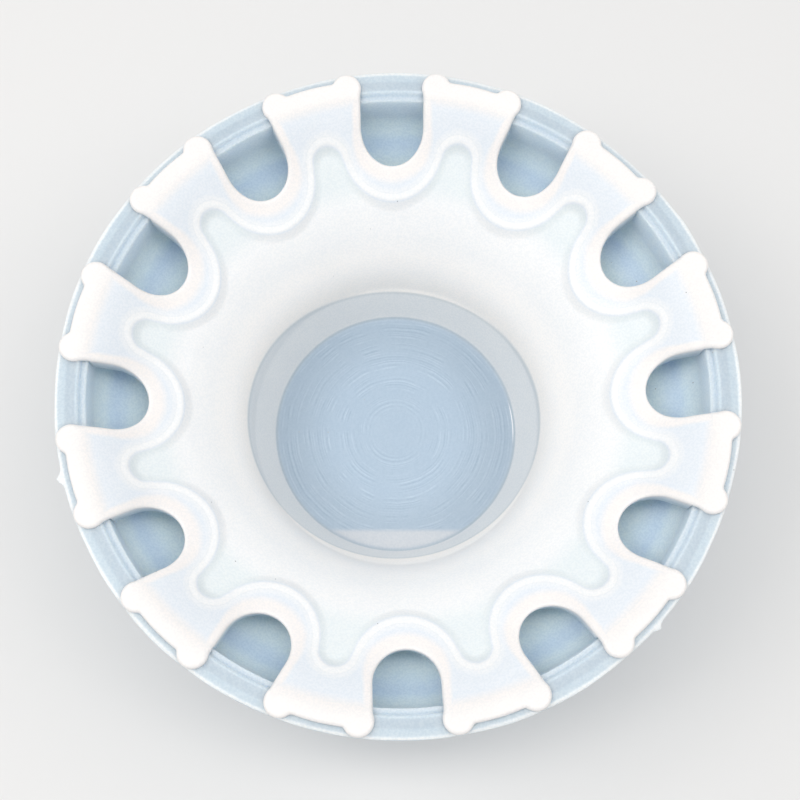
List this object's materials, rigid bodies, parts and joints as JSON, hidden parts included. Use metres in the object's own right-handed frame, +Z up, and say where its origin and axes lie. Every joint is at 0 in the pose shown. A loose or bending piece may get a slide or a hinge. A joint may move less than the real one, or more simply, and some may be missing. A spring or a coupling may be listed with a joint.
{
  "type": "resin casting mould",
  "caption": "Round two-part silicone mould: a dish and a lift-out core with flared teeth, for casting a bowl with a scalloped rim.",
  "frame": {"origin": "centre of the flat underside of the base mould", "axes": "+Z up, along the mould's axis; the first pour gap is 1.5 degrees past +Y"},
  "size_m": [0.13, 0.13, 0.0514],
  "materials": {
    "base_silicone": "translucent, satin",
    "core_silicone": "translucent milky white, satin"
  },
  "bodies": {
    "base": {"base_mould": "base_silicone"},
    "core": {"core_insert": "core_silicone"}
  },
  "joints": [
    {"name": "core_lift", "type": "slide", "parent": "base", "child": "core", "axis": [0, 0, 1], "range_m": [0, 0.06]}
  ]
}
